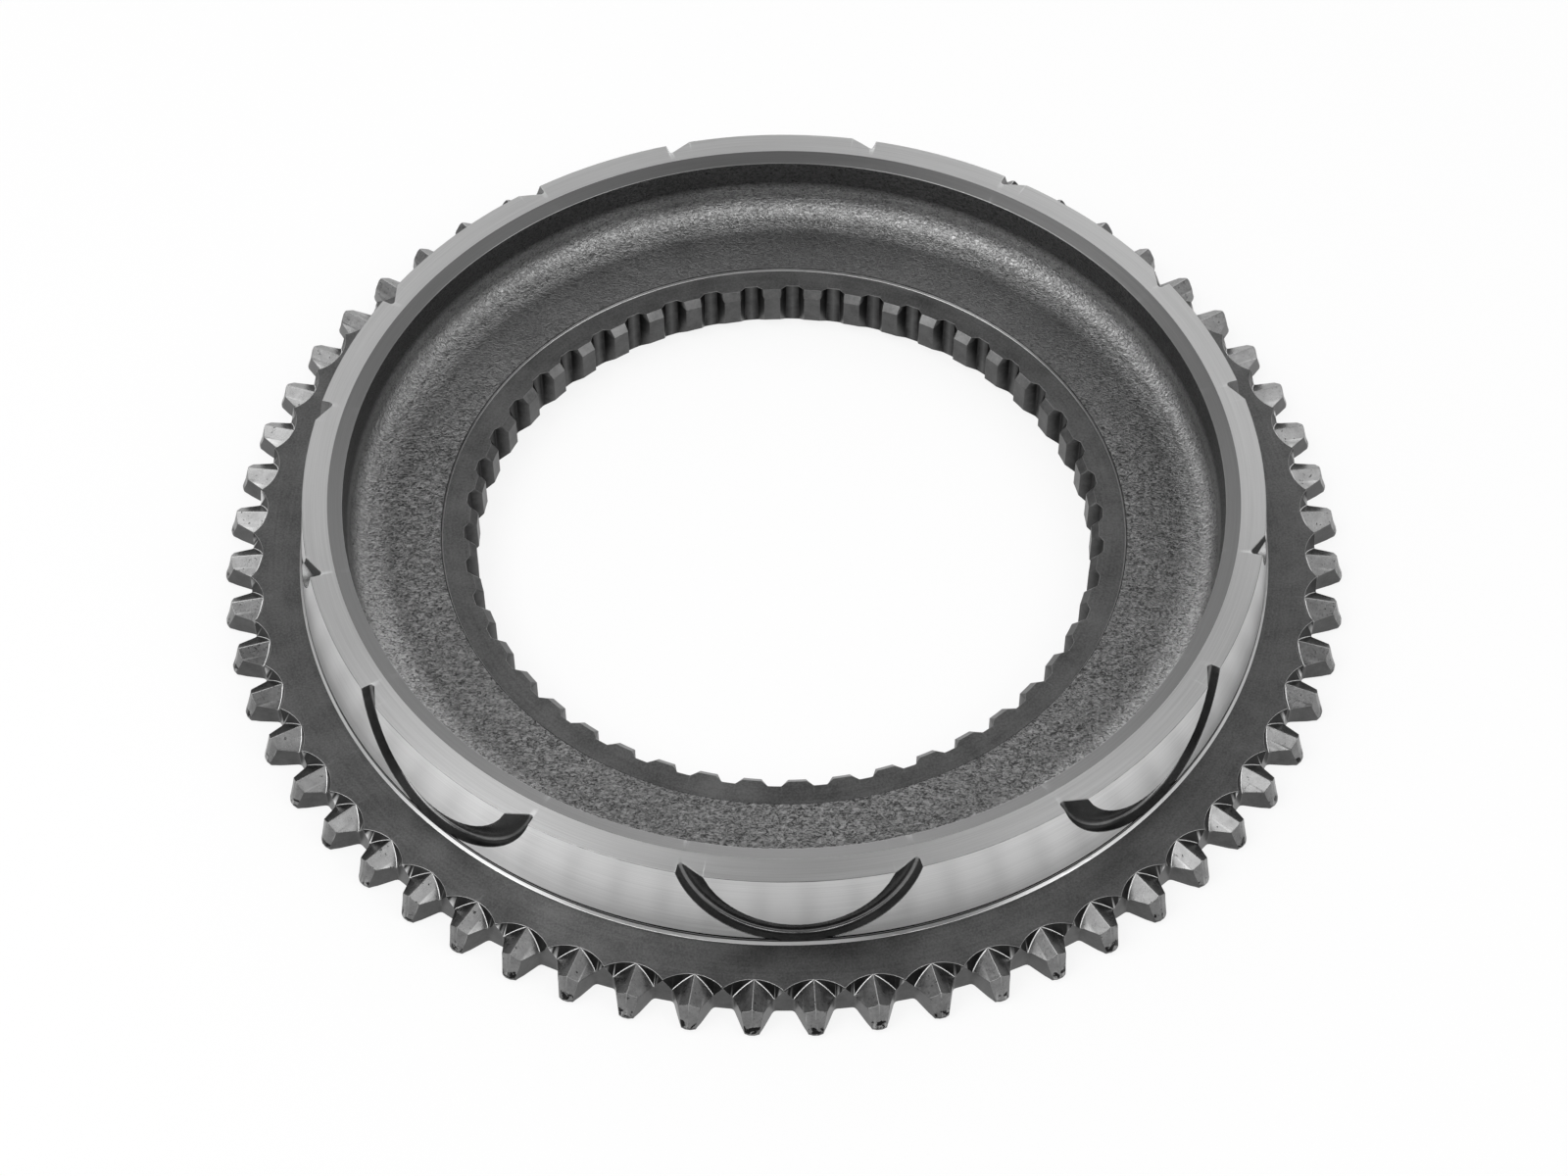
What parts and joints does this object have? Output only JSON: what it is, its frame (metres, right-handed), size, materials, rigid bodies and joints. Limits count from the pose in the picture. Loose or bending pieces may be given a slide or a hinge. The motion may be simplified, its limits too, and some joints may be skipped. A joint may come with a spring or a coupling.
{
  "type": "synchroniser coupling cone",
  "caption": "Flat steel ring with a grooved friction cone, pointed dog teeth round its flange and an internal spline; it couples a gearbox shaft to a gear.",
  "frame": {"origin": "on the ring's axis, in the plane of its flat underside", "axes": "+Z along the axis, from the flat underside towards the small end of the friction cone; X and Y across the ring"},
  "size_m": [0.2108, 0.2108, 0.0232],
  "materials": {
    "hardened_steel": "forged and heat-treated dark grey steel, with the cone and its land ground bright"
  },
  "bodies": {
    "root": {"coupling_cone": "hardened_steel"}
  },
  "joints": []
}
